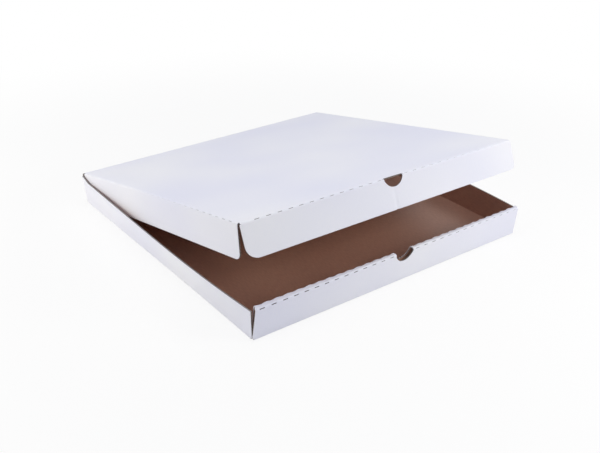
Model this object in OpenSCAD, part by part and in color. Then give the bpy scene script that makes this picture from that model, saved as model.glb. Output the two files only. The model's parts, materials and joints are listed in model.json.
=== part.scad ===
// Shallow take-away box folded from one sheet of micro-flute board.
// The rolled front wall of the tray holds the corner ears; the lid swings on the crease of the back wall.
// Frame: X across the front, front face towards -Y, Z up, origin at the middle of the underside.

/* [Board] */
// Thickness of the board
board_t = 1.5; // [1:0.1:2.5]
// Inside radius of a crease
crease_r = 0.5; // [0.3:0.1:1]
// Clearance between layers of board that lie face to face
layer_gap = 0.25; // [0.1:0.05:0.4]

/* [Tray] */
// Clear width between the side walls
inside_w = 350; // [240:5:500]
// Clear depth between the rolled front wall and the back wall
inside_d = 350; // [240:5:500]
// Height of the rolled front wall
front_h = 33; // [26:1:60]
// Depth of the pocket inside the rolled front wall
pocket_d = 3.5; // [3:0.1:6]
// Length of the ears at both ends of a side wall
ear_len = 70; // [40:1:90]
// Slant at the free end of an ear
ear_slant = 12; // [2:1:20]
// Width of a locking tab under the front wall
tab_w = 32; // [20:1:50]
// Distance between the two locking tabs
tab_spacing = 190; // [120:5:200]

/* [Lid] */
// Height of the lid's hinge above the top of the front wall
hinge_rise = 7; // [3:0.5:15]
// Angle at which the lid stands open
lid_open = 11.4; // [0:0.1:90]
// Clearance between the lid's side flaps and the tray's side walls
lid_side_gap = 0.8; // [0.5:0.1:3]
// Clearance between the lower edge of the front flap and the rolled front wall
lid_front_gap = 3; // [2:0.5:8]
// Clearance under the lid's side flaps when the box is shut
flap_floor_gap = 3.7; // [1:0.1:10]
// Clearance between the lid's rear edge and the crest of the back wall
hinge_gap = 0.3; // [0.2:0.05:0.5]
// Height of the front flap
front_flap_h = 34.5; // [26:0.5:60]
// Angle by which the front flap springs out from square
front_flap_spring = 6; // [0:0.5:8]
// Width lost at each end of the front flap towards its lower edge
front_flap_taper = 1.5; // [0:0.5:10]
// Radius at the lower corners of the front flap
front_flap_r = 10; // [4:1:12]
// Radius at the lower corners of a side flap
side_flap_r = 8; // [2:0.5:12]
// Distance from the hinge axis to the rear end of a side flap
side_flap_start = 3.5; // [3.5:0.5:20]
// Gap between neighbouring flaps at the lid's front corners
flap_corner_gap = 1; // [0.5:0.1:3]

/* [Thumb notches] */
// Radius of the round notches in the front wall and the front flap
notch_r = 12.5; // [8:0.5:16]
// Height of the notch's centre over the top of the front wall
wall_notch_rise = 2.4; // [0:0.1:6]
// The same over the lid's front fold
lid_notch_rise = 1.5; // [0:0.1:6]

/* [Perforated creases] */
// Length of one slit
slit_len = 5; // [3:0.5:8]
// Distance from one slit to the next
slit_pitch = 11.6; // [10:0.1:20]
// Width of a slit where the fold draws it open
slit_w = 0.5; // [0.4:0.1:1]
// Where slits lie in a crease, as a share of its turn
slit_at = 0.5; // [0.2:0.05:0.8]
// The same for the outer crease of the front wall, whose slits lie on the front face
front_slit_at = 0.2; // [0.1:0.05:0.5]

/* [Hidden] */
$fn = 48;
bend_r = crease_r + board_t;
// Overlap by which a crease is joined to a sheet beside it
lap = crease_r / 2;
out_w = inside_w + 2 * board_t;
roll_d = pocket_d + 2 * board_t;
out_d = inside_d + board_t + roll_d;
front_y = -out_d / 2;
back_y = out_d / 2;
side_h = front_h - board_t - layer_gap;
hinge_h = front_h + hinge_rise;
hinge_y = back_y - board_t / 2;
lid_w = inside_w - 2 * lid_side_gap;
lid_reach = hinge_y - front_y - roll_d - lid_front_gap - front_flap_h * sin(front_flap_spring);
lid_start = board_t / 2 + hinge_gap;
flap_h = hinge_h + board_t / 2 - board_t - flap_floor_gap;
// Straight lengths between creases
wall_flat = side_h - bend_r;
outer_flat = front_h - 2 * bend_r;
strip_flat = roll_d - 2 * bend_r;
inner_flat = front_h - bend_r - board_t - layer_gap;
back_flat = hinge_h - bend_r;
flap_flat = flap_h - bend_r;
front_flap_flat = front_flap_h - bend_r;
// Where the side walls end, between the layers of the front wall and inside the back wall
wall_front = front_y + 2 * board_t + layer_gap + crease_r;
wall_back = back_y - 2 * board_t - layer_gap - crease_r;
ear_lean = asin((pocket_d - board_t - 2 * layer_gap) / wall_flat);

// Sheet: an outline with its inner face on z = 0
module sheet() {
    translate([0, 0, -board_t])
        linear_extrude(board_t)
            children();
}

// Section of a crease: a ring about the origin, from straight down round by the turn,
// with a short lap on the sheet before it. A lap on the sheet after it, where asked for,
// is rooted a little way back in the ring.
module crease_section(turn, lap_after) {
    far = 2 * bend_r;
    intersection() {
        difference() {
            circle(bend_r);
            circle(crease_r);
        }
        polygon([[0, 0], for (i = [0 : 2]) far * [sin(turn * i / 2), -cos(turn * i / 2)]]);
    }
    translate([-lap, -bend_r])
        square([lap, board_t]);
    if (lap_after)
        rotate(turn)
            translate([-lap / 10, -bend_r])
                square([lap, board_t]);
}

// Middles of the slits along a crease, mirrored about its centre and clear of a notch
function slit_places(width, clear) =
    [for (side = [-1, 1], i = [0 : floor(width / 2 / slit_pitch) - 1])
        let (x = (i + 0.5) * slit_pitch)
            if (x - slit_len / 2 > clear) side * x];

// A crease along X at the origin; the sheet before it lies at y < 0 and the children follow after it.
// The slits open through the bend at a share of its turn.
module fold(width, turn = 90, slits_at = -1, clear = 0, lap_after = false) {
    translate([0, 0, crease_r]) {
        difference() {
            rotate([90, 0, 90])
                linear_extrude(width, center = true)
                    crease_section(turn, lap_after);
            if (slits_at >= 0)
                for (x = slit_places(width, clear))
                    translate([x, 0, 0])
                        rotate([turn * slits_at, 0, 0])
                            translate([0, 0, -bend_r])
                                cube([slit_len, slit_w, 2 * bend_r], center = true);
        }
        rotate([turn, 0, 0])
            translate([0, 0, -crease_r])
                children();
    }
}

// Outline standing on the X axis: ends drawn in towards the far edge, far corners rounded
module flap_outline(left, right, height, left_in, right_in, r) {
    module end(x, draw_in) {
        lean = atan2(draw_in, height);
        reach = r * tan(45 - lean / 2);
        side = sign(x);
        foot = [x - side * draw_in, height];
        along = reach * [side * sin(lean), -cos(lean)];
        polygon([[0, 0], [x, 0], foot + along, foot - [side * reach, 0], [0, height]]);
        translate(foot - [side * reach, r])
            circle(r);
    }
    end(left, left_in);
    end(right, right_in);
}

// Round cutter along Y; near an edge of the board it leaves a round bite
module notch(depth) {
    rotate([-90, 0, 0])
        cylinder(r = notch_r, h = depth, center = true);
}

// Front wall: up, over and down again, with tabs that lock into the floor
module rolled_front() {
    inner_w = inside_w - 2 * layer_gap;
    translate([0, front_y + bend_r, board_t])
        rotate([0, 0, 180])
            fold(inside_w - 2 * bend_r) {
                sheet()
                    translate([-out_w / 2, 0])
                        square([out_w, outer_flat]);
                translate([0, outer_flat, 0])
                    fold(out_w, slits_at = front_slit_at, clear = notch_r) {
                        sheet()
                            polygon([[-out_w / 2, 0], [out_w / 2, 0],
                                     [inner_w / 2, strip_flat], [-inner_w / 2, strip_flat]]);
                        translate([0, strip_flat, 0])
                            fold(inner_w, slits_at = slit_at, clear = notch_r)
                                sheet() {
                                    translate([-inner_w / 2, 0])
                                        square([inner_w, inner_flat]);
                                    for (x = [-tab_spacing, tab_spacing] / 2)
                                        translate([x - tab_w / 2, 0])
                                            square([tab_w, inner_flat + layer_gap + board_t]);
                                }
                    }
            }
}

// Slots in the floor for the locking tabs
module tab_slots() {
    inner_y = front_y + roll_d - board_t / 2;
    for (x = [-tab_spacing, tab_spacing] / 2)
        translate([x, inner_y, board_t / 2])
            cube([tab_w + 2 * layer_gap, board_t + 2 * layer_gap, 2 * board_t], center = true);
}

module ear(height) {
    sheet()
        polygon([[0, 0], [height, 0], [height - ear_slant / 2, ear_len], [ear_slant / 2, ear_len]]);
}

// Left side wall with the ear that goes into the front wall and the one that lies along the back wall
module side_wall() {
    middle = (wall_front + wall_back) / 2;
    slanted = wall_flat / cos(ear_lean);
    translate([crease_r - inside_w / 2, 0, board_t])
        rotate([0, 0, 90]) {
            translate([middle, 0, 0])
                fold(wall_back - wall_front - 2 * crease_r);
            translate([0, 0, crease_r])
                rotate([90, 0, 0])
                    translate([0, 0, -crease_r]) {
                        sheet()
                            polygon([[wall_front, 0], [wall_back, 0], [wall_back, wall_flat],
                                     [wall_front + wall_flat * tan(ear_lean), wall_flat]]);
                        translate([wall_front, 0, 0])
                            rotate([0, 0, 90 - ear_lean])
                                translate([slanted / 2, 0, 0])
                                    fold(slanted)
                                        translate([-slanted / 2, 0, 0])
                                            ear(slanted);
                        translate([wall_back, wall_flat / 2, 0])
                            rotate([0, 0, -90])
                                fold(wall_flat)
                                    translate([-wall_flat / 2, 0, 0])
                                        ear(wall_flat);
                    }
        }
}

// Back wall, with a round crest on the hinge axis
module back_wall() {
    translate([0, back_y - bend_r, board_t])
        fold(inside_w - 2 * bend_r)
            sheet()
                polygon([[-out_w / 2, 0], [out_w / 2, 0], [out_w / 2, wall_flat], [lid_w / 2, back_flat],
                         [-lid_w / 2, back_flat], [-out_w / 2, wall_flat]]);
    translate([0, hinge_y, hinge_h])
        rotate([0, 90, 0])
            cylinder(d = board_t, h = lid_w, center = true);
}

module tray() {
    floor_w = inside_w - 2 * crease_r;
    color("lavender")
        difference() {
            union() {
                difference() {
                    translate([0, 0, board_t])
                        sheet()
                            translate([-floor_w / 2, front_y + bend_r])
                                square([floor_w, out_d - 2 * bend_r]);
                    tab_slots();
                }
                rolled_front();
                back_wall();
                for (side = [0, 1])
                    mirror([side, 0, 0])
                        side_wall();
            }
            translate([0, front_y + roll_d / 2, front_h + wall_notch_rise])
                notch(2 * roll_d);
        }
}

// Lid lying shut with its hinge axis on the X axis, drawn upside down so that the flaps fold upwards
module lid_blank() {
    panel_w = lid_w - 2 * bend_r;
    fold_y = lid_reach - bend_r;
    flap_w = lid_w - 2 * flap_corner_gap;
    side_len = fold_y - flap_corner_gap - side_flap_start;
    translate([0, 0, board_t / 2]) {
        sheet()
            translate([-panel_w / 2, lid_start])
                square([panel_w, fold_y - lid_start]);
        difference() {
            translate([0, fold_y, 0])
                fold(panel_w, 90 - front_flap_spring, slit_at, notch_r, lap_after = true)
                    sheet()
                        flap_outline(-flap_w / 2, flap_w / 2, front_flap_flat, front_flap_taper,
                                     front_flap_taper, front_flap_r);
            translate([0, fold_y + bend_r, -board_t - lid_notch_rise])
                notch(2 * bend_r);
        }
        for (side = [0, 1])
            mirror([side, 0, 0])
                translate([panel_w / 2, side_flap_start + side_len / 2, 0])
                    rotate([0, 0, -90])
                        fold(side_len, slits_at = slit_at)
                            sheet()
                                flap_outline(-side_len / 2, side_len / 2, flap_flat, 0, flap_corner_gap,
                                             side_flap_r);
    }
}

module lid() {
    color("ghostwhite")
        translate([0, hinge_y, hinge_h])
            rotate([180 - lid_open, 0, 0])
                lid_blank();
}

tray();
lid();
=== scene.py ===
import json
import math

import bmesh
import bpy
import numpy as np
from mathutils import Matrix, Vector


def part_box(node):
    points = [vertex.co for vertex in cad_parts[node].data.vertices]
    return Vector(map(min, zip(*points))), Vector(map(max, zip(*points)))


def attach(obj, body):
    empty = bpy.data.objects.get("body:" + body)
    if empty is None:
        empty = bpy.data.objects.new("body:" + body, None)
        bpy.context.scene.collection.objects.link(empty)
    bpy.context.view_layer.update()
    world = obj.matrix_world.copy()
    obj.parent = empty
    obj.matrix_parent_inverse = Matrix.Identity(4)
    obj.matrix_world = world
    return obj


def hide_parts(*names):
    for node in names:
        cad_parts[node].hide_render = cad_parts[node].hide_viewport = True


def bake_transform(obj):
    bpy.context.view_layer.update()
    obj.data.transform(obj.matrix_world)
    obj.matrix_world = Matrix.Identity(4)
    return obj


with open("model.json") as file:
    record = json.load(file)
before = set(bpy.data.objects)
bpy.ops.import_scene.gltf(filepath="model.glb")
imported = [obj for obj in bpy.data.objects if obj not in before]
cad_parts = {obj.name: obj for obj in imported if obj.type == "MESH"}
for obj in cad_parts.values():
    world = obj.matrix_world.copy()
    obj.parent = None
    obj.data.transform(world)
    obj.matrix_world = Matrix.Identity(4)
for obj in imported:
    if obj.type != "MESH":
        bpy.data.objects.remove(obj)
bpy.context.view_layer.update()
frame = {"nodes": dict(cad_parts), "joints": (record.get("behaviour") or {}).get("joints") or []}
print("frame loaded:", sorted(frame["nodes"]))

mm = 0.001
right = math.pi / 2
tiny = 0.001  # grid lines are rounded to a tenth of this

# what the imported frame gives, in millimetres
hinge = frame["joints"][0]
hingeY, hingeZ = (round(c / mm, 3) for c in hinge["pos_m"][1:])
lidOpen = math.radians(-hinge["range_deg"][0])
trayLow, trayHigh = (np.round(np.array(c) / mm, 2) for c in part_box("tray"))
lidLow, lidHigh = (np.round(np.array(c) / mm, 2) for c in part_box("lid"))
outW, outD = trayHigh[0] - trayLow[0], trayHigh[1] - trayLow[1]
lidW = lidHigh[0] - lidLow[0]

board = dict(
    thick=1.5, creaseR=0.5, gap=0.25,  # one sheet of micro-flute board
    flutePitch=3.2, rollD=6.5,  # flutes, and depth of the rolled front wall
    slitLen=5.0, slitPitch=11.6,  # perforation of the creases
    notchR=12.5, notchNick=2.0,  # thumb notch, and the cut beyond its corners on the lid's fold
    seam=3.0,  # distance from the hinge axis to where tray and lid hand over to the hinge fold
    lineGap=14.0, wallGap=6.0,  # widest spacing of grid lines on a panel and up a wall
    firstLine=0.3, endStretch=30.0,  # first grid line beyond a crease or cut, and reach of a moved end
    arcLines=9, biteLines=25,  # grid lines round a crease or corner, and across a notch
    weld=2e-6, sliver=1e-7, crisp=math.radians(50),  # joined points, in metres, and a sharp edge's angle
    hingeSkew=2.8,  # the hinge line is this much higher at its right end and lower at its left
    rearOut=3.5, rearSpan=35.0,  # the box's rear left corner stands out to the left, over this stretch
)
half = board["thick"] / 2
midR = board["creaseR"] + half  # the sheet's middle line goes round a crease at this radius
bendR = board["creaseR"] + board["thick"]
bendLen = midR * right
skin = dict(white=0, kraft=1, across=2, along=3, pressed=4)  # places in boardSkins


# How far the hinge line is lifted at a place across the box.
def hingeLift(x):
    return board["hingeSkew"] * x / (outW / 2)


# Moves the rear left corner out to the left, in proportion to the way left and up and to the square of
# the way back.
def rearRack(x, y, z):
    leftward = np.clip((-x - outW / 2) / board["rearSpan"] + 1, 0, 1)
    share = leftward * np.clip(y / hingeY, 0, 1) ** 2 * np.clip((z - bendR) / board["rearSpan"], 0, 1)
    return x - board["rearOut"] * share, y, z


# Lines between two ends with no spacing wider than the given one.
def spread(a, b, gap):
    return np.linspace(a, b, max(2, int(math.ceil(abs(b - a) / gap)) + 1))


# The wanted lines, sorted, with near doubles dropped and wide stretches filled in.
def filledLines(values, gap):
    lines = np.unique(np.round(values, 4))
    parts = [spread(a, b, gap)[:-1] for a, b in zip(lines[:-1], lines[1:])]
    return np.r_[np.concatenate(parts), lines[-1]]


# Slit middles along a crease: evenly pitched, mirrored about its centre, clear of a notch.
def slitPlaces(width, clear):
    count = int(width / 2 / board["slitPitch"])
    x = (np.arange(count) + 0.5) * board["slitPitch"]
    x = x[x - board["slitLen"] / 2 > clear]
    return np.r_[-x[::-1], x]


# Both ends of every slit, as grid lines.
def slitEnds(places):
    return np.r_[places - board["slitLen"] / 2, places + board["slitLen"] / 2]


# True where a value lies in a slit.
def inSlit(value, places):
    return (np.abs(value[..., None] - places) < board["slitLen"] / 2).any(-1)


# Lines across a crease of a given turn: even steps, plus the two lips of the slits at a share of the turn.
def creaseLines(turn, share, slitW):
    lips = midR * turn * share + np.array([-1, 1]) * slitW / 2
    return np.unique(np.round(np.r_[np.linspace(0, midR * turn, board["arcLines"]), lips], 4))


# Draws the two lips of every slit together, to a share of the slit's width.
def pressLips(walk, centre, slitW, share):
    return np.where(np.abs(walk - centre) < slitW / 2 + tiny, centre + (walk - centre) * share, walk)


# Lines along a flap, closer together where its lower corners are rounded.
def flapLines(height, r):
    arc = height - r + r * np.sin(np.linspace(0, right, board["arcLines"]))
    return np.r_[0, spread(board["firstLine"], height - r, board["lineGap"])[:-1], arc]


# Half width of a flap at a depth: straight ends drawn in by a taper, then a round corner tangent to
# both edges.
def flapHalf(depth, height, top, taper, r):
    lean = np.arctan2(taper, height)
    centre = top - taper - r * np.tan((right - lean) / 2)
    fall = np.clip(depth - (height - r), 0, r)
    arc = centre + np.sqrt(np.maximum(r * r - fall * fall, 0))
    return np.where(depth > height - r + r * np.sin(lean), arc, top - taper * depth / height)


# Moves only the outer stretch of lines, so that a line at full now lies at wanted.
def pullEnds(value, full, wanted, stretch):
    inner = full - stretch
    moved = inner + (np.abs(value) - inner) * (wanted - inner) / stretch
    return np.where(np.abs(value) > inner, np.sign(value) * moved, value)


# A thumb notch is an arc about a centre that lies a rise above the edge.
# Half its width where the crease ends:
def notchHalf(rise):
    return math.sqrt(board["notchR"] ** 2 - (rise + bendR) ** 2)


# Its depth below that line, at a distance from its middle.
def notchBite(a, rise):
    return np.sqrt(np.maximum(board["notchR"] ** 2 - a * a, (rise + bendR) ** 2)) - rise - bendR


# Grid lines across it.
def notchLines(rise):
    return notchHalf(rise) * np.sin(np.linspace(-right, right, board["biteLines"]))


# Walk along the sheet's middle line: straight on each flat, then round a crease at the radius midR.
# A point n outside that line is offset square to it. Gives distance ahead and height towards the inner face.
def rollSheet(walk, n, flats, turns):
    walk, n = np.broadcast_arrays(np.asarray(walk, float), np.asarray(n, float))
    ahead, up = walk.copy(), -n
    x = z = heading = 0.0
    left = walk.copy()
    for flat, turn in zip(flats, [*turns, 0.0]):
        c, s = math.cos(heading), math.sin(heading)
        on = left >= 0
        ahead = np.where(on, x + left * c + n * s, ahead)
        up = np.where(on, z + left * s - n * c, up)
        x, z, left = x + flat * c, z + flat * s, left - flat
        if turn == 0:
            break
        cx, cz = x - midR * s, z + midR * c
        angle = heading + np.clip(left / midR, 0, turn)
        on = left > 0
        ahead = np.where(on, cx + (midR + n) * np.sin(angle), ahead)
        up = np.where(on, cz - (midR + n) * np.cos(angle), up)
        heading += turn
        x, z, left = cx + midR * math.sin(heading), cz - midR * math.cos(heading), left - midR * turn
    return ahead, up


# A sheet of board on a grid: the outer and inner liner as two layers of quads over the cells that exist,
# and a cut edge along every border of those cells, unless a border is left open for a neighbour.
# Along is the skin of the borders that run along the flutes.
def sheetSolid(place, a, b, cells, along, openEdge=None):
    layers = [np.stack(place(a, b, n), -1) for n in (half, -half)]
    nu, nv = a.shape
    index = np.arange(2 * nu * nv).reshape(2, nu, nv)
    corners = [(slice(None, -1), slice(None, -1)), (slice(1, None), slice(None, -1)),
               (slice(1, None), slice(1, None)), (slice(None, -1), slice(1, None))]
    outer = [index[0][c][cells] for c in corners]
    inner = [index[1][c][cells] for c in corners]
    quads = [np.stack(outer, -1), np.stack(inner[::-1], -1)]
    kinds = [np.full(len(quads[0]), skin["white"]), np.full(len(quads[1]), skin["kraft"])]
    padded = np.pad(cells, 1)
    beyond = [padded[1:-1, :-2], padded[2:, 1:-1], padded[1:-1, 2:], padded[:-2, 1:-1]]
    for k in range(4):
        bare = ~beyond[k][cells]
        if openEdge is not None:
            bare &= ~openEdge[k][cells]
        p, q = k, (k + 1) % 4
        quads.append(np.stack([outer[q], outer[p], inner[p], inner[q]], -1)[bare])
        kinds.append(np.full(bare.sum(), along if k % 2 else skin["across"]))
    # the outer liner has to face outwards: turn every face round if the grid runs the other way
    sample = np.argwhere(cells)[0]
    p00, p10, p01 = (layers[0][tuple(sample + d)] for d in ([0, 0], [1, 0], [0, 1]))
    outward = layers[0][tuple(sample)] - layers[1][tuple(sample)]
    turned = np.dot(np.cross(p10 - p00, p01 - p00), outward) < 0
    quads = np.concatenate(quads)
    blank = [np.stack([a, b, np.full(a.shape, depth)], -1).reshape(-1, 3) for depth in (1.0, 0.0)]
    return dict(points=np.concatenate([l.reshape(-1, 3) for l in layers]), blank=np.concatenate(blank),
                quads=quads[:, ::-1] if turned else quads, kinds=np.concatenate(kinds))


# Joins sheet solids into one object, drops unused points, welds shared borders and keeps cut edges crisp.
def boardObject(name, solids, materials):
    offsets = np.cumsum([0] + [len(s["points"]) for s in solids[:-1]])
    points = np.concatenate([s["points"] for s in solids])
    blank = np.concatenate([s["blank"] for s in solids])
    quads = np.concatenate([s["quads"] + o for s, o in zip(solids, offsets)])
    used, quads = np.unique(quads, return_inverse=True)
    quads = quads.reshape(-1, 4)
    mesh = bpy.data.meshes.new(name)
    mesh.from_pydata((points[used] * mm).tolist(), [], quads.tolist())
    mesh.polygons.foreach_set("material_index", np.concatenate([s["kinds"] for s in solids]))
    mesh.attributes.new("blank", "FLOAT_VECTOR", "POINT").data.foreach_set("vector", blank[used].ravel())
    for m in materials:
        mesh.materials.append(m)
    welded = bmesh.new()
    welded.from_mesh(mesh)
    bmesh.ops.remove_doubles(welded, verts=welded.verts, dist=board["weld"])
    bmesh.ops.dissolve_degenerate(welded, edges=welded.edges, dist=board["sliver"])
    welded.to_mesh(mesh)
    welded.free()
    mesh.polygons.foreach_set("use_smooth", np.ones(len(mesh.polygons), bool))
    mesh.set_sharp_from_angle(angle=board["crisp"])
    obj = bpy.data.objects.new(name, mesh)
    bpy.context.scene.collection.objects.link(obj)
    print(f"{name}: {len(mesh.vertices)} points, {len(mesh.polygons)} faces")
    return obj


def newGroup(name, inputs, outputs):
    group = bpy.data.node_groups.new(name, "ShaderNodeTree")
    for label, kind, value in inputs:
        socket = group.interface.new_socket(label, in_out="INPUT", socket_type=kind)
        if value is not None:
            socket.default_value = value
    for label, kind in outputs:
        group.interface.new_socket(label, in_out="OUTPUT", socket_type=kind)
    return group


# Adds a node and sets its properties, inputs and links; a link is given as an output socket.
def addNode(tree, kind, inputs=None, **settings):
    node = tree.nodes.new("ShaderNode" + kind)
    for key, value in settings.items():
        setattr(node, key, value)
    for key, value in (inputs or {}).items():
        if isinstance(value, bpy.types.NodeSocket):
            tree.links.new(value, node.inputs[key])
        else:
            node.inputs[key].default_value = value
    return node


def mathNode(tree, operation, first, second=0.0):
    return addNode(tree, "Math", {0: first, 1: second}, operation=operation).outputs[0]


paperLook = dict(
    cloudScale=0.007, cloudDetail=1.0, fibreScale=0.9, fibreDetail=6.0, fibreRough=0.65,
    fibreStretch=(1.0, 0.16, 1.0), fluteHeight=0.012, fibreHeight=0.02,
)


# Paper: cloudy formation and long fine fibres along the flutes, as values about 0.5, and the washboard of
# the flutes under the liner with its fibres as a height.
def paperGroup():
    tree = newGroup("paperFace",
                    [("Blank", "NodeSocketVector", None),
                     ("Flute Pitch", "NodeSocketFloat", board["flutePitch"])],
                    [("Cloud", "NodeSocketFloat"), ("Fibre", "NodeSocketFloat"),
                     ("Height", "NodeSocketFloat")])
    enter, leave = tree.nodes.new("NodeGroupInput"), tree.nodes.new("NodeGroupOutput")
    blank = enter.outputs["Blank"]
    cloud = addNode(tree, "TexNoise", {"Vector": blank, "Scale": paperLook["cloudScale"],
                                       "Detail": paperLook["cloudDetail"]})
    stretched = addNode(tree, "VectorMath", {0: blank, 1: paperLook["fibreStretch"]}, operation="MULTIPLY")
    fibre = addNode(tree, "TexNoise", {"Vector": stretched.outputs[0], "Scale": paperLook["fibreScale"],
                                       "Detail": paperLook["fibreDetail"],
                                       "Roughness": paperLook["fibreRough"]})
    across = addNode(tree, "SeparateXYZ", {0: blank}).outputs[0]
    turns = mathNode(tree, "DIVIDE", across, enter.outputs["Flute Pitch"])
    wave = mathNode(tree, "SINE", mathNode(tree, "MULTIPLY", turns, 2 * math.pi))
    height = mathNode(tree, "ADD", mathNode(tree, "MULTIPLY", wave, paperLook["fluteHeight"]),
                      mathNode(tree, "MULTIPLY", fibre.outputs[0], paperLook["fibreHeight"]))
    tree.links.new(cloud.outputs[0], leave.inputs["Cloud"])
    tree.links.new(fibre.outputs[0], leave.inputs["Fibre"])
    tree.links.new(height, leave.inputs["Height"])
    return tree


def newMaterial(name):
    material = bpy.data.materials.new(name)
    material.use_nodes = True
    tree = material.node_tree
    tree.nodes.clear()
    out = addNode(tree, "OutputMaterial")
    shader = addNode(tree, "BsdfPrincipled")
    tree.links.new(shader.outputs[0], out.inputs[0])
    blank = addNode(tree, "Attribute", attribute_name="blank").outputs["Vector"]
    return material, tree, shader, blank


# A liner: two close tones mixed by the paper's clouds and fibres, matt, with the paper's height as bump.
def linerMaterial(name, group, look):
    material, tree, shader, blank = newMaterial(name)
    paper = tree.nodes.new("ShaderNodeGroup")
    paper.node_tree = group
    tree.links.new(blank, paper.inputs["Blank"])
    mixed = mathNode(tree, "ADD", mathNode(tree, "MULTIPLY", paper.outputs["Cloud"], look["cloud"]),
                     mathNode(tree, "MULTIPLY", paper.outputs["Fibre"], look["fibre"]))
    ramp = addNode(tree, "MapRange", {"Value": mixed, "From Min": look["low"], "From Max": look["high"]})
    tone = addNode(tree, "Mix", {"Factor": ramp.outputs[0], 6: look["dark"], 7: look["light"]},
                   data_type="RGBA")
    rough = addNode(tree, "MapRange", {"Value": paper.outputs["Fibre"],
                                       "To Min": look["rough"] - look["roughSpan"],
                                       "To Max": look["rough"] + look["roughSpan"]})
    bump = addNode(tree, "Bump", {"Height": paper.outputs["Height"], "Strength": look["bump"],
                                  "Distance": mm})
    tree.links.new(tone.outputs[2], shader.inputs["Base Color"])
    tree.links.new(rough.outputs[0], shader.inputs["Roughness"])
    tree.links.new(bump.outputs[0], shader.inputs["Normal"])
    shader.inputs["Specular IOR Level"].default_value = look["gloss"]
    return material


# Cut edge: the wavy middle layer as a pale line between the flutes' hollows, whose dark is painted shade,
# and the white liner crushed over its outer side.
def edgeMaterial(name, look):
    material, tree, shader, blank = newMaterial(name)
    parts = addNode(tree, "SeparateXYZ", {0: blank})
    turns = mathNode(tree, "MULTIPLY", parts.outputs[0], 2 * math.pi / board["flutePitch"])
    swing = mathNode(tree, "MULTIPLY", mathNode(tree, "SINE", turns), look["waveHeight"])
    wave = mathNode(tree, "ADD", swing, 0.5)
    away = mathNode(tree, "ABSOLUTE", mathNode(tree, "SUBTRACT", parts.outputs[2], wave))
    onWave = addNode(tree, "MapRange", {"Value": away, "From Min": look["lineW"],
                                        "From Max": look["lineW"] * 2, "To Min": 1.0, "To Max": 0.0})
    fromMiddle = mathNode(tree, "ABSOLUTE", mathNode(tree, "SUBTRACT", parts.outputs[2], 0.5))
    onLiner = mathNode(tree, "GREATER_THAN", fromMiddle, look["linerAt"])
    paper = mathNode(tree, "MAXIMUM", onWave.outputs[0], onLiner)
    # mixes the paper line with the painted shade of the flute hollows
    paperAndHollowShade = addNode(tree, "Mix", {"Factor": paper, 6: look["paintedHollowShade"], 7: look["paper"]}, data_type="RGBA")
    onWhite = addNode(tree, "MapRange", {"Value": parts.outputs[2], "From Min": look["crushFrom"],
                                         "From Max": look["crushTo"]})
    tone = addNode(tree, "Mix", {"Factor": onWhite.outputs[0], 6: paperAndHollowShade.outputs[2], 7: look["white"]},
                   data_type="RGBA")
    bump = addNode(tree, "Bump", {"Height": paper, "Strength": look["bump"],
                                  "Distance": look["bumpDepth"] * mm})
    tree.links.new(tone.outputs[2], shader.inputs["Base Color"])
    tree.links.new(bump.outputs[0], shader.inputs["Normal"])
    shader.inputs["Roughness"].default_value = look["rough"]
    shader.inputs["Specular IOR Level"].default_value = look["gloss"]
    return material


whiteLook = dict(
    dark=(0.79, 0.8, 0.92, 1), light=(0.89, 0.895, 0.94, 1), cloud=0.8, fibre=0.2, low=0.3, high=0.7,
    rough=0.55, roughSpan=0.08, bump=0.25, gloss=0.35,
)
kraftLook = dict(
    dark=(0.46, 0.25, 0.185, 1), light=(0.62, 0.37, 0.28, 1), cloud=0.3, fibre=0.7, low=0.35, high=0.65,
    rough=0.42, roughSpan=0.08, bump=0.5, gloss=0.9,
)
edgeLook = dict(
    waveHeight=0.36, lineW=0.09, linerAt=0.36, crushFrom=0.75, crushTo=0.9,  # in shares of the thickness
    # the hollow tone is painted shade: near black, it stands for the shade inside the open flutes
    paintedHollowShade=(0.06, 0.05, 0.045, 1), paper=(0.36, 0.31, 0.28, 1), white=(0.8, 0.8, 0.86, 1),
    rough=0.85, bump=0.4, bumpDepth=0.2, gloss=0.2,
)
alongLook = dict(edgeLook, waveHeight=0.0, lineW=0.5, paper=(0.3, 0.285, 0.285, 1),
                 crushFrom=0.92, crushTo=1.0)
pressedLook = dict(alongLook, crushFrom=0.3, crushTo=0.6)
paper = paperGroup()
boardSkins = [linerMaterial("whiteLiner", paper, whiteLook), linerMaterial("kraftLiner", paper, kraftLook),
              edgeMaterial("cutAcross", edgeLook), edgeMaterial("cutAlong", alongLook),
              edgeMaterial("cutPressed", pressedLook)]
print("materials made:", [m.name for m in boardSkins])

lid = dict(
    frontGap=3.0, floorGap=3.7,  # clearances that set its length and its side flaps
    frontH=34.5, spring=math.radians(6), frontTaper=-0.3, frontR={-1: 12.0, 1: 6.0},  # front flap, R by side
    cornerGap=1.0, sideStart=3.5, sideR=8.0,
    sideTaper=(1.0, 5.0),  # a side flap's rear and front end are drawn in by these at its foot
    frontSlitW=0.5, sideSlitW=0.3, notchRise=1.5,
    frontPress=(0.8, 0.15),  # open share of the front slits, from left to right
    sidePress=(0.15, 1.0), pressFrom=0.4,  # and of the side slits, to the front from a share of the depth
    bow=0.7,  # the panel's middle sags by this
    foldDrop=2.2,  # the front fold's right end is lower by this
    frontOut=2.2, frontHang=0.6,  # the front left corner stands out to the left, its flap's foot by a share
    foldPush=1.5, flapRack=2.0,  # the front fold's middle and the flap's lower edge stand to the right
    dent=0.9, dentAt=-2.0, dentW=1.4,  # the weak line in the front flap under the notch
)
lidReach = outD - half - board["rollD"] - lid["frontGap"] - lid["frontH"] * math.sin(lid["spring"])
foldY = lidReach - bendR
panelHalf = lidW / 2 - bendR
flapFlat = hingeZ + half - board["thick"] - lid["floorGap"] - bendR
frontFlat = lid["frontH"] - bendR
frontTurn = right - lid["spring"]
frontBend = midR * frontTurn
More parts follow.
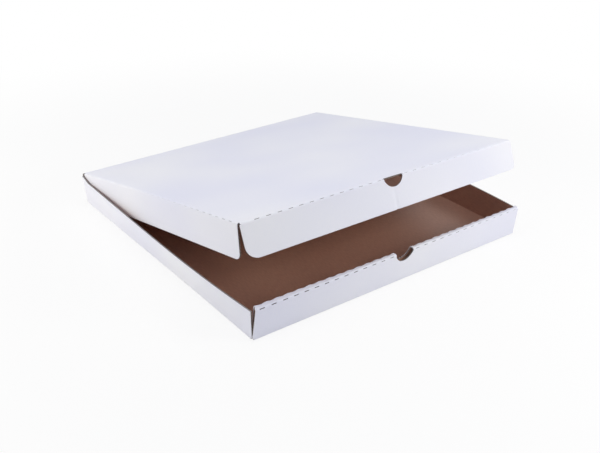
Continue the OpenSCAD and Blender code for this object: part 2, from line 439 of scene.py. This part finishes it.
sideEnd = foldY - lid["cornerGap"]
sideMiddle, sideReach = (lid["sideStart"] + sideEnd) / 2, (sideEnd - lid["sideStart"]) / 2


# From the lid's own axes (across, distance from the hinge, height over its middle plane) to the box's frame.
def lidToBox(across, out, over):
    c, s = math.cos(lidOpen), math.sin(lidOpen)
    return across, hingeY - out * c + over * s, hingeZ + out * s + over * c


# The lid as a flat blank that is folded: beyond its side edges and its front edge the sheet goes round a
# crease and hangs as a flap; flap ends are drawn in and rounded, and the thumb notch bites an arc into the
# front flap. The panel sags as a cosine across times a sine along. Its front fold drops in proportion to
# the way ahead and to the right, and goes to the right as a parabola across times the fourth power of the
# way ahead. Its front left corner goes out with the square of the way ahead, and the hinge's lift fades
# out ahead. The weak line in the front flap is a bell curve across, in proportion to the depth.
def lidPlace(a, b, n):
    sideWalk = np.maximum(np.abs(a) - panelHalf, 0)
    frontWalk = np.maximum(b - foldY, 0)
    sideOpen = np.interp(b, [lid["pressFrom"] * foldY, foldY], lid["sidePress"])
    sideWalk = pressLips(sideWalk, bendLen / 2, lid["sideSlitW"], sideOpen)
    frontOpen = np.interp(a, [-panelHalf, panelHalf], lid["frontPress"])
    frontWalk = pressLips(frontWalk, frontBend / 2, lid["frontSlitW"], frontOpen)
    depth = np.maximum(frontWalk - frontBend, 0)
    bite = notchBite(a, lid["notchRise"])
    onFlap = frontWalk >= frontBend - tiny
    depth = np.where(onFlap, bite + (frontFlat - bite) * depth / frontFlat, 0)
    cornerR = np.where(a < 0, lid["frontR"][-1], lid["frontR"][1])
    endAt = flapHalf(depth, frontFlat, lidW / 2 - lid["cornerGap"], lid["frontTaper"], cornerR)
    endAt = np.where(depth > 0, endAt, panelHalf)
    across = pullEnds(a, panelHalf, endAt, board["endStretch"])
    frontWalk = np.where(onFlap, frontBend + depth, frontWalk)
    sideDepth = np.maximum(sideWalk - bendLen, 0)
    sideTaper = np.where(b < sideMiddle, *lid["sideTaper"])
    sideAt = flapHalf(sideDepth, flapFlat, sideReach, sideTaper, lid["sideR"])
    along = sideMiddle + pullEnds(b - sideMiddle, sideReach, sideAt, board["endStretch"])
    along = np.where(sideDepth > 0, along, b)
    sideAhead, sideUp = rollSheet(sideWalk, n, [0, flapFlat], [right])
    frontAhead, frontUp = rollSheet(frontWalk, n, [0, frontFlat], [frontTurn])
    t, u = np.clip(a / panelHalf, -1, 1), np.clip(b / foldY, 0, 1)
    low = np.clip(depth / frontFlat, 0, 1)
    frontAhead = frontAhead - lid["dent"] * np.exp(-((a - lid["dentAt"]) / lid["dentW"]) ** 2) * low
    push = lid["foldPush"] * (1 - t ** 2) * u ** 4
    across = across + push + lid["flapRack"] * depth / frontFlat
    x = np.where(sideWalk > tiny, np.sign(a) * (panelHalf + sideAhead), across)
    out = np.where(frontWalk > 0, foldY + frontAhead, along)
    sag = lid["bow"] * np.cos(t * right) * np.sin(u * math.pi)
    ahead = np.clip((b - board["seam"]) / (foldY - board["seam"]), 0, 1)
    drop = lid["foldDrop"] * ahead * (0.5 + x / lidW) * (1 - low)
    x, y, z = lidToBox(x, out, -(sideUp + frontUp + n) - sag - drop)
    z = z + hingeLift(x) * (1 - ahead)
    leftward = np.clip((-x - lidW / 2) / board["rearSpan"] + 1, 0, 1)
    hang = 1 - (1 - lid["frontHang"]) * np.clip(sideDepth / flapFlat, 0, 1)
    return rearRack(x - lid["frontOut"] * leftward * ahead ** 2 * hang, y, z)


def makeLid():
    frontSlits = slitPlaces(2 * panelHalf, board["notchR"])
    sideSlits = sideMiddle + slitPlaces(2 * sideReach, 0)
    sideLines = np.r_[creaseLines(right, 0.5, lid["sideSlitW"]),
                      bendLen + flapLines(flapFlat, lid["sideR"])[1:]]
    frontLines = np.r_[creaseLines(frontTurn, 0.5, lid["frontSlitW"]),
                       frontBend + flapLines(frontFlat, max(lid["frontR"].values()))[1:]]
    nickEnd = notchHalf(lid["notchRise"]) + board["notchNick"]
    panel = np.r_[-panelHalf, panelHalf, slitEnds(frontSlits), notchLines(lid["notchRise"]),
                  -nickEnd, nickEnd]
    panel = filledLines(panel, board["lineGap"])
    rows = np.r_[board["seam"], lid["sideStart"], sideEnd, foldY, slitEnds(sideSlits)]
    rows = filledLines(rows, board["lineGap"])
    a, b = np.meshgrid(np.r_[-panelHalf - sideLines[:0:-1], panel, panelHalf + sideLines[1:]],
                       np.r_[rows, foldY + frontLines[1:]], indexing="ij")
    ac, bc = ((g[:-1, :-1] + g[1:, 1:]) / 2 for g in (a, b))
    onSide = np.abs(ac) > panelHalf
    onFront = bc > foldY
    cells = ~(onSide & ((bc > sideEnd) | (bc < lid["sideStart"])))
    cells &= ~(onFront & (bc < foldY + frontBend) & (np.abs(ac) < notchHalf(lid["notchRise"])))
    frontCut = inSlit(ac, frontSlits) | (np.abs(ac) < nickEnd)
    cells &= ~(onFront & (np.abs(bc - foldY - frontBend / 2) < lid["frontSlitW"] / 2) & frontCut)
    inSideLips = np.abs(np.abs(ac) - panelHalf - bendLen / 2) < lid["sideSlitW"] / 2
    cells &= ~(onSide & inSideLips & inSlit(bc, sideSlits))
    return boardObject("lidBoard", [sheetSolid(lidPlace, a, b, cells, skin["pressed"])], boardSkins)


lidBoard = makeLid()
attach(lidBoard, "lid")
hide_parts("lid")

tray = dict(
    frontH=33.0, earLen=70.0, earSlant=12.0, earInset=0.05, tabW=32.0, tabSpacing=190.0,
    slitShare=0.25, slitW=0.55, slitPress=(1.0, 0.3),  # top slits, and their open share from left to right
    innerShare=0.3, innerSlitW=1.1, scallop=0.85,  # slits of the inner edge, which dips at each
    wallBow={-1: (6.2, 1.2), 1: (5.0, 0.5)},  # by side: its top stands out at mid length and at the front
    bowAhead={-1: 0.35, 1: 0.0},  # by side: how much of that bow lies to the front
    baseBow={-1: 0.0, 1: 5.5}, baseFront={-1: 1.3, 1: 0.0},  # by side: the same for its foot
    frontLean=1.5, frontRack=2.0, frontPush=2.8,  # the front wall's top leans forward and racks to the right
    stripRise=0.9, riseFrom=-40.0, riseTo=-140.0,  # the rolled edge rises inside towards the left end
    frontInset=2.5, backInset=1.5,  # front wall's right end and back wall's ends fall short of the corners
    notchRise=2.4, flare=1.0,  # a wall reaches its full width at this height over its crease
    hook=5.0, hookLen=11.0,  # a side wall's top curves up to the hinge over this stretch
    earBridge=3.0, bridgeGap=2.0, earRelief=5.0,  # cut beside a front ear, above a bridge at its foot
    wallReach=2.0, wallSlant={-1: -0.5, 1: 2.5},  # wall's end at that cut: ahead, and back at the top by side
)
sideH = tray["frontH"] - board["thick"] - board["gap"]
wallFlat = sideH - bendR
outerFlat = tray["frontH"] - 2 * bendR
stripFlat = board["rollD"] - 2 * bendR
innerFlat = tray["frontH"] - bendR - board["thick"] - board["gap"]
tabFlat = board["gap"] + board["thick"]
floorHalf = outW / 2 - board["thick"] - board["creaseR"]
innerHalf = outW / 2 - board["thick"] - board["gap"]
floorReach = outD / 2 - bendR
backFlat = hingeZ - board["seam"] - bendR
wallEnd = outD / 2 - 2 * board["thick"] - board["gap"] - board["creaseR"]
outerStart = floorReach + bendLen
stripStart = outerStart + outerFlat + bendLen
innerStart = stripStart + stripFlat + bendLen
topSlit = outerStart + outerFlat + bendLen * tray["slitShare"]
innerSlit = stripStart + stripFlat + bendLen * tray["innerShare"]
backEnd = outW / 2 - tray["backInset"]
wallTop = backEnd + (lidW / 2 - backEnd) * (hingeZ - board["seam"] - sideH) / (hingeZ - sideH)


# A side wall's foot stands out in a parabola along its length, and its front end by itself.
def footBow(side, y):
    t = np.clip(y / wallEnd, -1, 1)
    return tray["baseBow"][side] * (1 - t * t) + tray["baseFront"][side] * np.maximum(-t, 0) ** 2


# Floor, front wall and back wall as one strip: walking to the front it goes up, over and down inside,
# walking to the back it goes up once. The notch's arc is bitten out of every layer of the front wall, and
# the inner top edge dips at each slit, as a cosine along it. The front wall leans and racks in proportion
# to its height, its middle further as a parabola along it. Its rolled edge rises inside in a smooth step
# towards the left, and the floor's edges follow the side walls' feet.
def spinePlace(a, b, n):
    walk = np.abs(b)
    front = b > 0
    slitOpen = np.interp(a, [-floorHalf, floorHalf], tray["slitPress"])
    walk = np.where(front, pressLips(walk, topSlit, tray["slitW"], slitOpen), walk)
    bite = notchBite(a, tray["notchRise"])
    onOuter = front & (walk > outerStart) & (walk <= outerStart + outerFlat + tiny)
    onInner = front & (walk >= innerStart - tiny)
    walk = np.where(onOuter, outerStart + (walk - outerStart) * (outerFlat - bite) / outerFlat, walk)
    walk = np.where(onInner, innerStart + bite + (walk - innerStart) * (innerFlat - bite) / innerFlat, walk)
    flats, turns = [floorReach, outerFlat, stripFlat, innerFlat], [right] * 3
    ahead, up = rollSheet(walk, n, flats, turns)
    backAhead, backUp = rollSheet(walk, n, [floorReach, backFlat], [right])
    widened = np.clip((walk - outerStart) / tray["flare"], 0, 1)
    frontEnd = np.where(a > 0, outW / 2 - tray["frontInset"], outW / 2)
    onStrip = np.clip((walk - stripStart) / stripFlat, 0, 1)
    frontHalf = floorHalf + (frontEnd - floorHalf) * widened + (innerHalf - frontEnd) * onStrip
    backHalf = np.interp(walk - outerStart, [0, tray["flare"], wallFlat, backFlat],
                         [floorHalf, backEnd, backEnd, wallTop])
    x = pullEnds(a, floorHalf, np.where(front, frontHalf, backHalf), board["endStretch"])
    nearEdge = np.exp(-((walk - innerStart + bendLen / 2) / bendLen) ** 2)
    dip = tray["scallop"] * nearEdge * (0.5 - 0.5 * np.cos(2 * math.pi * a / board["slitPitch"]))
    high = np.where(front, np.clip((up - half) / tray["frontH"], 0, 1), 0)
    leftward = np.clip((a - tray["riseFrom"]) / (tray["riseTo"] - tray["riseFrom"]), 0, 1)
    dip = dip - tray["stripRise"] * leftward * leftward * (3 - 2 * leftward) * high * onStrip
    y = np.where(front, -ahead - tray["frontLean"] * high, backAhead)
    x = x + (tray["frontRack"] + tray["frontPush"] * (1 - (a / floorHalf) ** 2)) * high
    for side in (-1, 1):
        outer = np.clip((side * a - floorHalf) / board["endStretch"] + 1, 0, 1)
        x = x + side * footBow(side, -b) * outer * (1 - high)
    lift = hingeLift(x) * np.clip((backUp - half) / (midR + backFlat - half), 0, 1)
    return rearRack(x, y, half + np.where(front, up - dip, backUp + lift))


# A side wall as a strip along Y: up from the floor's crease, and at both ends round a crease into an ear.
# The front ear leans with the front wall, and a cut parts it from the side wall above a bridge; the wall's
# end at the cut moves by the eighth power of the way ahead. The wall's top stands out in a parabola along
# its length, skewed to the front, its front end by the square of the way ahead, and its rear end curves up
# to the hinge. Side is -1 for the left wall and 1 for the right.
def wallPlace(side):
    def place(a, b, n):
        rise = np.maximum(a - bendLen, 0)
        over = np.maximum(np.abs(b) - wallEnd, 0)
        ear = np.maximum(over - bendLen, 0) / tray["earLen"]
        drawn = 1 - tray["earInset"] - ear * tray["earSlant"] / wallFlat
        rise = np.where(over > bendLen, (rise - wallFlat / 2) * drawn + wallFlat / 2, rise)
        out, up = rollSheet(np.where(a > bendLen, bendLen + rise, a), n, [0, wallFlat], [right])
        ahead, inward = rollSheet(over, n, [0, tray["earLen"]], [right])
        y = np.where(over > 0, np.sign(b) * (wallEnd + ahead), b)
        t = np.clip(b / wallEnd, -1, 1)
        high = np.clip(rise / wallFlat, 0, 1)
        cutBack = (tray["wallSlant"][side] * high - tray["wallReach"]) * np.maximum(-t, 0) ** 8
        cutBack = np.where((b >= -wallEnd) & (rise > tray["earBridge"] + tiny), cutBack, 0)
        y = y + cutBack - np.where(b < -wallEnd - bendLen / 2, tray["frontLean"] * high, 0)
        nearHinge = np.clip(1 - np.abs(b - wallEnd) / tray["hookLen"], 0, 1) ** 2
        up = up + tray["hook"] * high * nearHinge
        middle, end = tray["wallBow"][side]
        bow = middle * (1 - t * t) * (1 - tray["bowAhead"][side] * t) + end * np.maximum(-t, 0) ** 2
        bow = bow * high + footBow(side, b)
        return rearRack(side * (floorHalf + out - n - inward + bow), y, half + up)
    return place


def makeTray():
    frontSlits = slitPlaces(outW, board["notchR"])
    innerSlits = slitPlaces(2 * innerHalf, board["notchR"])
    tabs = np.array([-1, 1]) * tray["tabSpacing"] / 2
    tabEnds = np.r_[tabs - tray["tabW"] / 2, tabs + tray["tabW"] / 2]
    slotEnds = np.r_[tabs - tray["tabW"] / 2 - board["gap"], tabs + tray["tabW"] / 2 + board["gap"]]
    slotAt = outD / 2 - board["rollD"] + half + np.array([-1, 1]) * (half + board["gap"])
    # dips and crests of the rolled edge
    waves = np.r_[frontSlits, frontSlits + np.sign(frontSlits) * board["slitPitch"] / 2]
    across = np.r_[-floorHalf, floorHalf, slitEnds(frontSlits), notchLines(tray["notchRise"]),
                   tabEnds, slotEnds, waves[np.abs(waves) < floorHalf]]
    across = filledLines(across, board["lineGap"])
    floorLines = np.r_[-wallEnd, wallEnd, wallEnd - board["creaseR"], board["creaseR"] - wallEnd, -slotAt]
    floorLines = filledLines(floorLines, board["lineGap"])
    crease = creaseLines(right, 0.5, tray["slitW"])
    front = np.r_[floorReach, slotAt, floorReach + crease,
                  outerStart + np.r_[0, spread(tray["flare"], outerFlat, board["wallGap"])],
                  outerStart + outerFlat + creaseLines(right, tray["slitShare"], tray["slitW"]),
                  stripStart + stripFlat + creaseLines(right, tray["innerShare"], tray["innerSlitW"]),
                  innerStart + spread(0, innerFlat, board["wallGap"]),
                  innerStart + innerFlat + tabFlat]
    back = np.r_[floorReach, floorReach + crease,
                 outerStart + np.r_[0, wallFlat, spread(tray["flare"], backFlat, board["wallGap"])]]
    b = np.unique(np.round(np.r_[-back, -floorLines, front], 4))
    a, b = np.meshgrid(across, b, indexing="ij")
    ac, bc = ((g[:-1, :-1] + g[1:, 1:]) / 2 for g in (a, b))
    fromTab = np.abs(np.abs(ac) - tray["tabSpacing"] / 2)
    inTab = fromTab < tray["tabW"] / 2
    inSlot = fromTab < tray["tabW"] / 2 + board["gap"]
    cells = ~(inSlot & (bc > slotAt[0]) & (bc < slotAt[1]))
    cells &= ~((bc > innerStart + innerFlat) & ~inTab)
    rolled = (bc > outerStart + outerFlat) & (bc < innerStart)
    cells &= ~(rolled & (np.abs(ac) < notchHalf(tray["notchRise"])))
    cells &= ~((np.abs(bc - topSlit) < tray["slitW"] / 2) & inSlit(ac, frontSlits))
    cells &= ~((np.abs(bc - innerSlit) < tray["innerSlitW"] / 2) & inSlit(ac, innerSlits))
    openEdge = [np.zeros(cells.shape, bool) for _ in range(4)]
    beside = np.abs(bc) < wallEnd - board["creaseR"]
    openEdge[3][0] = beside[0]
    openEdge[1][-1] = beside[-1]
    solids = [sheetSolid(spinePlace, a, b, cells, skin["pressed"], openEdge)]

    aboveBridge = tray["earBridge"] + board["firstLine"]
    up = np.r_[crease, bendLen + spread(0, tray["earBridge"], tray["bridgeGap"])[1:],
               bendLen + spread(aboveBridge, wallFlat, board["wallGap"])]
    ears = np.r_[crease, bendLen + spread(tray["earRelief"], tray["earLen"], board["lineGap"])]
    a, b = np.meshgrid(up, np.r_[-wallEnd - ears[:0:-1], floorLines, wallEnd + ears[1:]], indexing="ij")
    ac, bc = ((g[:-1, :-1] + g[1:, 1:]) / 2 for g in (a, b))
    beside = np.abs(bc) < wallEnd - board["creaseR"]
    cells = (ac > bendLen) | beside
    relief = (bc < -wallEnd) & (bc > -wallEnd - bendLen - tray["earRelief"])
    cells &= ~(relief & (ac > bendLen + tray["earBridge"]))
    openEdge = [np.zeros(cells.shape, bool) for _ in range(4)]
    openEdge[3][0] = beside[0]
    solids += [sheetSolid(wallPlace(side), a, b, cells, skin["along"], openEdge) for side in (-1, 1)]
    return boardObject("trayBoard", solids, boardSkins)


trayBoard = makeTray()
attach(trayBoard, "tray")
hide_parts("tray")

fold = dict(
    bendSteps=12, leadSteps=7, acrossLines=60, turn=right - lidOpen,
    # from tray to lid, along a line flat enough to clear both skewed seams
    handOver=(0.55, 1.2), tilt=math.radians(30),
)
tangent = midR * math.tan(fold["turn"] / 2)
foldLead = board["seam"] - tangent


# The crease between back wall and lid: up the wall, round the crease, out along the lid.
# Its middle lines meet on the hinge axis. Its half width goes in straight lines from the back wall's to the
# lid's and on to the panel's.
def hingePlace(a, b, n):
    ahead, up = rollSheet(b, n, [foldLead, foldLead], [fold["turn"]])
    halfAt = np.interp(ahead, [0, board["seam"]], [wallTop, lidW / 2])
    reach = np.clip((up + n) / board["seam"], 0, 1)
    halfAt = halfAt + (panelHalf - lidW / 2) * reach
    return rearRack(a * halfAt, hingeY - up, hingeZ - board["seam"] + ahead + hingeLift(a * halfAt))


def makeHingeFold():
    foldLen = midR * fold["turn"]
    walk = np.r_[0, foldLead / 2, foldLead + np.linspace(0, foldLen, fold["bendSteps"]),
                 foldLen + foldLead * np.linspace(1, 2, fold["leadSteps"])[1:]]
    a, b = np.meshgrid(np.linspace(-1, 1, fold["acrossLines"]), walk, indexing="ij")
    cells = np.ones((a.shape[0] - 1, a.shape[1] - 1), bool)
    return boardObject("hingeFold", [sheetSolid(hingePlace, a, b, cells, skin["along"])], boardSkins)


hingeFold = makeHingeFold()
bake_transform(hingeFold)

shot = dict(
    lens=48.505, sensor=36.0, near=0.01, far=50.0,
    place=(-0.5050, -0.6762, 0.4183), tilt=62.973, turn=-37.293, roll=0.552,  # fitted to the photo
)


def makeCamera():
    data = bpy.data.cameras.new("shotCamera")
    data.lens, data.sensor_width = shot["lens"], shot["sensor"]
    data.clip_start, data.clip_end = shot["near"], shot["far"]
    camera = bpy.data.objects.new("shotCamera", data)
    bpy.context.scene.collection.objects.link(camera)
    turn = Matrix.Rotation(math.radians(shot["turn"]), 4, "Z")
    turn = turn @ Matrix.Rotation(math.radians(shot["tilt"]), 4, "X")
    turn = turn @ Matrix.Rotation(math.radians(shot["roll"]), 4, "Z")
    camera.matrix_world = Matrix.Translation(shot["place"]) @ turn
    bpy.context.scene.camera = camera


studio = dict(
    floorSize=12.0, floorTone=0.9, worldLight=0.32, worldTone=(0.88, 0.9, 1.0),
    floorWhite=0.84, whiteFrom=0.3, whiteTo=0.8,  # share of plain white on the floor by the box, and its fade
    lamps=[  # name, place, aims at, size, watts, colour
        ("topSoft", (0.0, 0.0, 1.7), (0, 0, 0.05), 1.6, 14.9, (1, 1, 1)),
        ("leftSoft", (-0.9, 0.2, 0.22), (-0.17, 0.05, 0.04), 0.5, 1.9, (1, 0.97, 0.89)),
        ("rearLeftSoft", (-0.55, 0.40, 0.16), (-0.17, 0.1, 0.02), 0.28, 0.45, (1, 0.93, 0.74)),
        ("frontRightKey", (0.42, -0.68, 0.37), (0.11, -0.155, 0.03), 0.3, 2.2, (1, 0.98, 0.91)),
    ],
)


# Camera, mirror and glass rays see the sky as plain white and the floor as white that fades in with
# distance from the box, where its shadow stays; the light itself stays plain.
def seenRays(tree):
    path = addNode(tree, "LightPath")
    seen = mathNode(tree, "MAXIMUM", path.outputs["Is Camera Ray"], path.outputs["Is Glossy Ray"])
    return mathNode(tree, "MAXIMUM", seen, path.outputs["Is Transmission Ray"])


def makeFloor():
    s = studio["floorSize"] / 2
    mesh = bpy.data.meshes.new("floor")
    mesh.from_pydata([(-s, -s, 0), (s, -s, 0), (s, s, 0), (-s, s, 0)], [], [(0, 1, 2, 3)])
    material = bpy.data.materials.new("paleFloor")
    material.use_nodes = True
    tree = material.node_tree
    tree.nodes.clear()
    tone = studio["floorTone"]
    diffuse = addNode(tree, "BsdfDiffuse", {"Color": (tone, tone, tone, 1)})
    glow = addNode(tree, "Emission", {"Color": (1, 1, 1, 1), "Strength": 1.0})
    place = addNode(tree, "TexCoord").outputs["Object"]
    away = addNode(tree, "VectorMath", {0: place}, operation="LENGTH").outputs["Value"]
    white = addNode(tree, "MapRange", {"Value": away, "From Min": studio["whiteFrom"],
                                       "From Max": studio["whiteTo"], "To Min": studio["floorWhite"],
                                       "To Max": 1.0}, interpolation_type="SMOOTHSTEP")
    share = mathNode(tree, "MULTIPLY", seenRays(tree), white.outputs[0])
    mix = addNode(tree, "MixShader", {0: share, 1: diffuse.outputs[0], 2: glow.outputs[0]})
    addNode(tree, "OutputMaterial", {0: mix.outputs[0]})
    mesh.materials.append(material)
    floor = bpy.data.objects.new("floor", mesh)
    bpy.context.scene.collection.objects.link(floor)


def makeLight():
    scene = bpy.context.scene
    scene.world = bpy.data.worlds.new("studioSky")
    scene.world.use_nodes = True
    tree = scene.world.node_tree
    tree.nodes.clear()
    sky = addNode(tree, "Background", {"Color": (*studio["worldTone"], 1), "Strength": studio["worldLight"]})
    white = addNode(tree, "Background", {"Color": (1, 1, 1, 1), "Strength": 1.0})
    mix = addNode(tree, "MixShader", {0: seenRays(tree), 1: sky.outputs[0], 2: white.outputs[0]})
    addNode(tree, "OutputWorld", {0: mix.outputs[0]})
    for name, place, aim, size, watts, colour in studio["lamps"]:
        data = bpy.data.lights.new(name, "AREA")
        data.shape, data.size, data.energy, data.color = "DISK", size, watts, colour
        lamp = bpy.data.objects.new(name, data)
        lamp.visible_camera = lamp.visible_glossy = False
        scene.collection.objects.link(lamp)
        away = Vector(place) - Vector(aim)
        lamp.matrix_world = Matrix.Translation(place) @ away.to_track_quat("Z", "Y").to_matrix().to_4x4()
    scene.view_settings.view_transform = "Standard"


makeCamera()
makeFloor()
makeLight()
print("camera, floor and light made")
